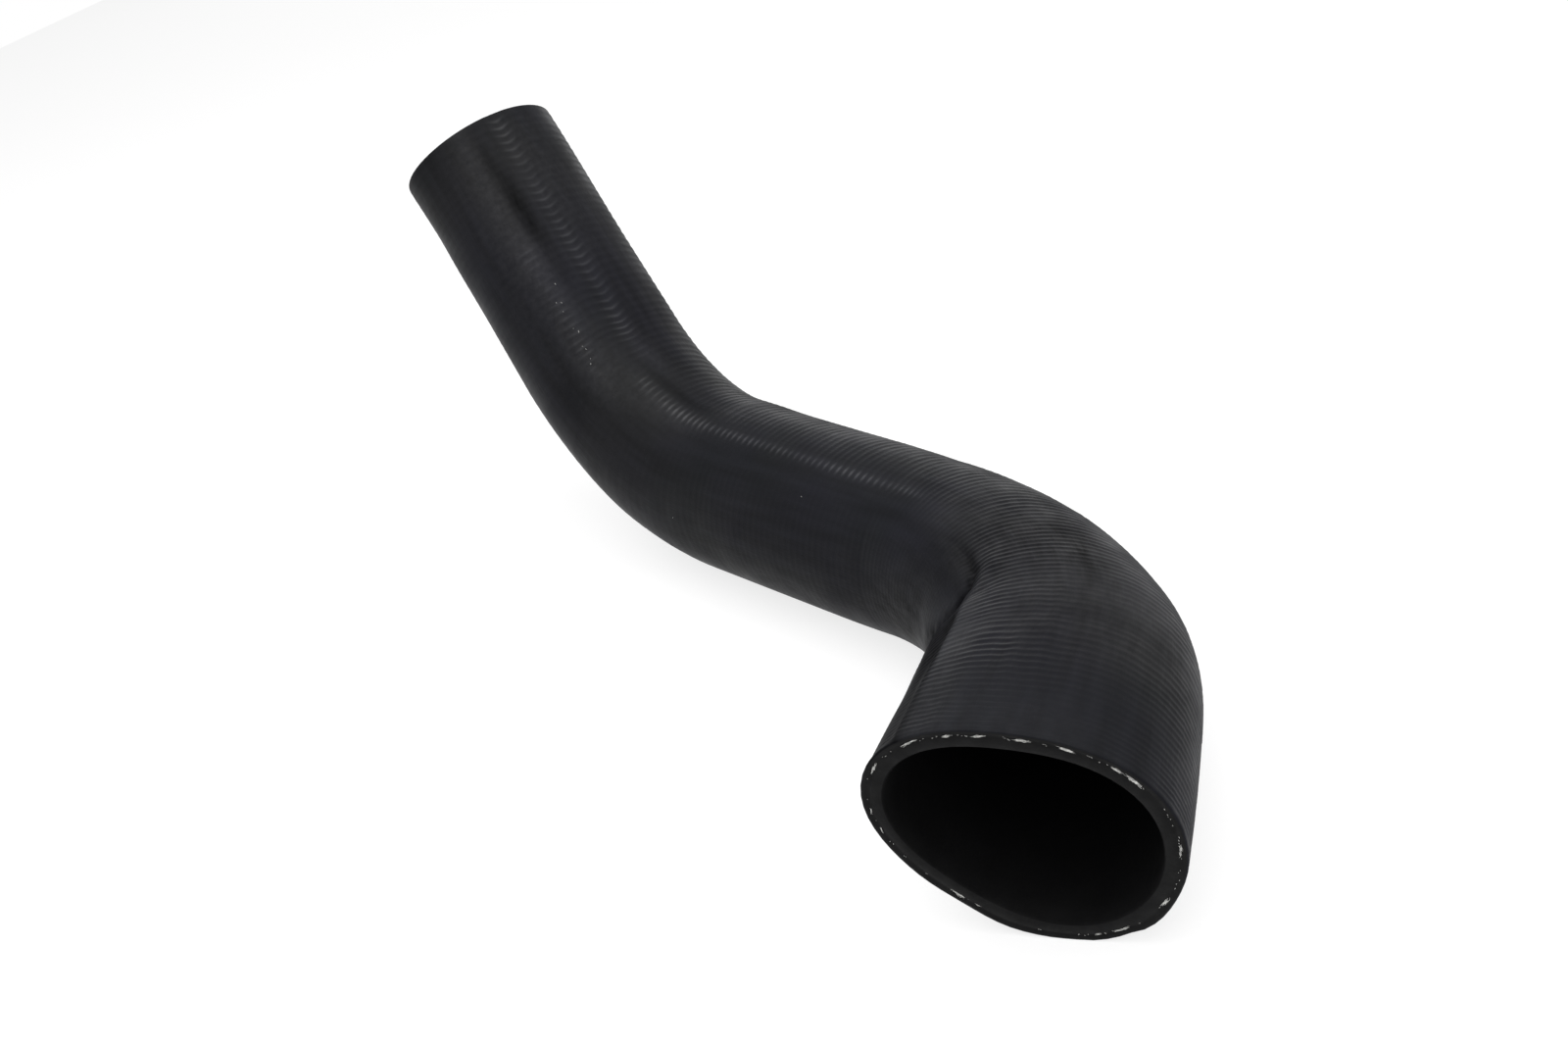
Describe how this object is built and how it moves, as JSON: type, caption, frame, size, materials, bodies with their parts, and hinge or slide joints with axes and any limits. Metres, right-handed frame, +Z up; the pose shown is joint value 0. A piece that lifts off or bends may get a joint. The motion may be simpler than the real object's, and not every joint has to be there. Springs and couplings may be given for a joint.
{
  "type": "charge air hose",
  "caption": "Moulded black rubber charge air hose, open at both ends, necking from a wide oval mouth through a pinched elbow and an offset bend to a narrower tail.",
  "frame": {"origin": "under the middle of the hose's bounding box, on the surface that the hose lies on", "axes": "+X is the hose's longest extent, from the raised tail towards the mouth; +Y points from the mouth into the hose; +Z is up"},
  "size_m": [0.3136, 0.2762, 0.1514],
  "materials": {
    "hose_rubber": "black wrapped rubber with fine rings round it, a dull sheen and some handling dust"
  },
  "bodies": {
    "root": {"hose_body": "hose_rubber"}
  },
  "joints": []
}
